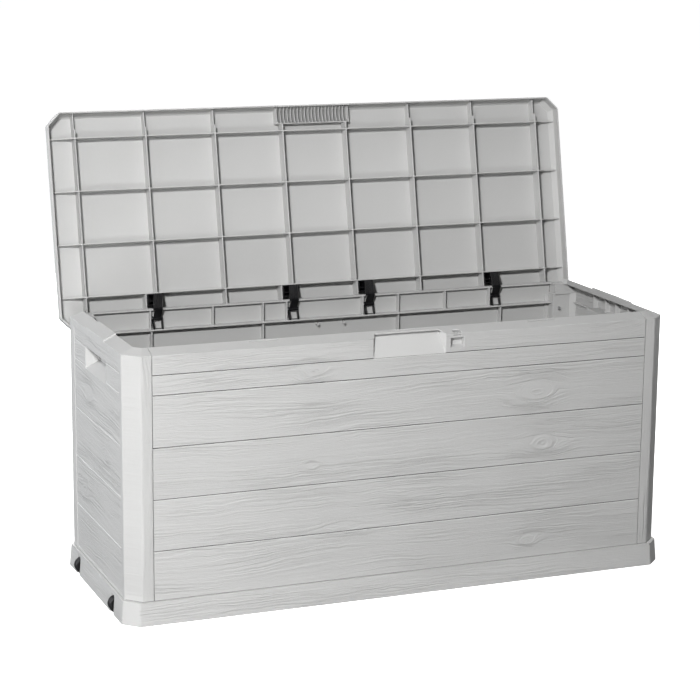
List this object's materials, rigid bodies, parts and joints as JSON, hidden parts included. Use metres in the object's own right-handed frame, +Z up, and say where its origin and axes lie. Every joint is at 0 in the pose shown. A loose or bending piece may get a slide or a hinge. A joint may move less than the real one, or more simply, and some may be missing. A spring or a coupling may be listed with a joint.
{
  "type": "deck storage box",
  "caption": "Long resin garden storage box with plank-look panels, scooped end handles, a front finger recess, a hinged ribbed lid held open, and small wheels under one end.",
  "frame": {"origin": "centre of the footprint, on the ground under the centre foot of the base tray", "axes": "+X to the right along the box's length, -Y to the front where the finger recess is, +Z up; the lid is stored open"},
  "size_m": [1.176, 0.5748, 0.9275],
  "materials": {
    "resin": "matte, embossed wood grain on the outside",
    "black_plastic": "satin black moulding",
    "steel": "zinc plated"
  },
  "bodies": {
    "box": {"base_tray": "resin", "front_panel": "resin", "back_panel": "resin", "left_end_panel": "resin", "right_end_panel": "resin", "corner_screws": "steel", "axle_front": "steel", "axle_rear": "steel", "hinge_bracket_1": "black_plastic", "hinge_bracket_2": "black_plastic", "hinge_bracket_3": "black_plastic", "hinge_bracket_4": "black_plastic", "hinge_pin_1": "steel", "hinge_pin_2": "steel", "hinge_pin_3": "steel", "hinge_pin_4": "steel"},
    "lid": {"lid": "resin", "hinge_arm_1": "black_plastic", "hinge_arm_2": "black_plastic", "hinge_arm_3": "black_plastic", "hinge_arm_4": "black_plastic"},
    "wheel_front": {"wheel_front": "black_plastic"},
    "wheel_rear": {"wheel_rear": "black_plastic"}
  },
  "joints": [
    {"name": "lid_hinge", "type": "hinge", "parent": "box", "child": "lid", "pos_m": [0, 0.2097, 0.5067], "axis": [1, 0, 0], "range_deg": [0, 101.8]},
    {"name": "wheel_front_spin", "type": "hinge", "parent": "box", "child": "wheel_front", "pos_m": [-0.574, -0.127, 0.018], "axis": [0, 1, 0], "continuous": true},
    {"name": "wheel_rear_spin", "type": "hinge", "parent": "box", "child": "wheel_rear", "pos_m": [-0.574, 0.127, 0.018], "axis": [0, 1, 0], "continuous": true}
  ]
}
